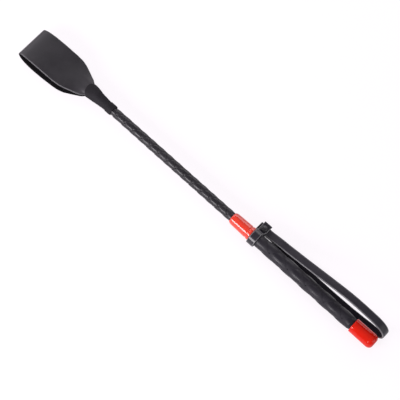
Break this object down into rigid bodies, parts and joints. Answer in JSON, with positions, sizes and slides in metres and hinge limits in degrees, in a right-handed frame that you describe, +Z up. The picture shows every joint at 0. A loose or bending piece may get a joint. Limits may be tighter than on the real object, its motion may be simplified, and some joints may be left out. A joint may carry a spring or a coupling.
{
  "type": "riding crop",
  "caption": "Short riding crop with a plaited shaft and grip, folded leather keeper, red ferrule and butt cap, and a riveted wrist strap.",
  "frame": {"origin": "middle of the object's box, on the surface it lies on", "axes": "+X along the crop from the keeper towards the butt cap, +Y sideways towards the wrist strap, +Z up from the surface it lies on"},
  "size_m": [0.453, 0.0404, 0.027],
  "materials": {
    "keeper_leather": "smooth black leather, semi-matt, brighter where it bends",
    "sleeve_leather": "thin black leather, matt, slightly wrinkled",
    "shaft_leather": "narrow black leather strands, satin",
    "grip_leather": "wide black leather strands, satin",
    "strap_leather": "black strap leather with cut edges",
    "red_plastic": "bright red moulded plastic, high gloss",
    "glass_fibre": "drawn glass-fibre rod",
    "tube_plastic": "extruded plastic tube",
    "thread": "waxed black thread",
    "blackened_metal": "black domed rivet, satin"
  },
  "bodies": {
    "crop": {"core_rod": "glass_fibre", "grip_tube": "tube_plastic", "shaft_plait_1": "shaft_leather", "shaft_plait_2": "shaft_leather", "shaft_plait_3": "shaft_leather", "shaft_plait_4": "shaft_leather", "grip_plait_1": "grip_leather", "grip_plait_2": "grip_leather", "grip_plait_3": "grip_leather", "grip_plait_4": "grip_leather", "keeper_tail_top": "keeper_leather", "keeper_tail_bottom": "keeper_leather", "keeper_lashing": "thread", "keeper_sleeve": "sleeve_leather", "shaft_whipping": "thread", "butt_whipping": "thread", "ferrule": "red_plastic", "end_cap": "red_plastic"},
    "keeper": {"keeper": "keeper_leather"},
    "collar": {"strap_collar": "strap_leather", "rivet_post": "blackened_metal", "rivet_cap": "blackened_metal"},
    "strap": {"wrist_strap": "strap_leather"}
  },
  "joints": [
    {"name": "keeper_flex", "type": "hinge", "parent": "crop", "child": "keeper", "pos_m": [-0.14695, 0.0016, 0.0086], "axis": [0, 1, 0], "range_deg": [-35, 35], "stiffness_Nm_per_rad": 0.25},
    {"name": "collar_turn", "type": "hinge", "parent": "crop", "child": "collar", "pos_m": [0.072, 0.0016, 0.0086], "axis": [1, 0, 0], "continuous": true},
    {"name": "strap_swing", "type": "hinge", "parent": "collar", "child": "strap", "pos_m": [0.07275, 0.0134, 0.0086], "axis": [0, 0, 1], "range_deg": [0, 180]}
  ]
}
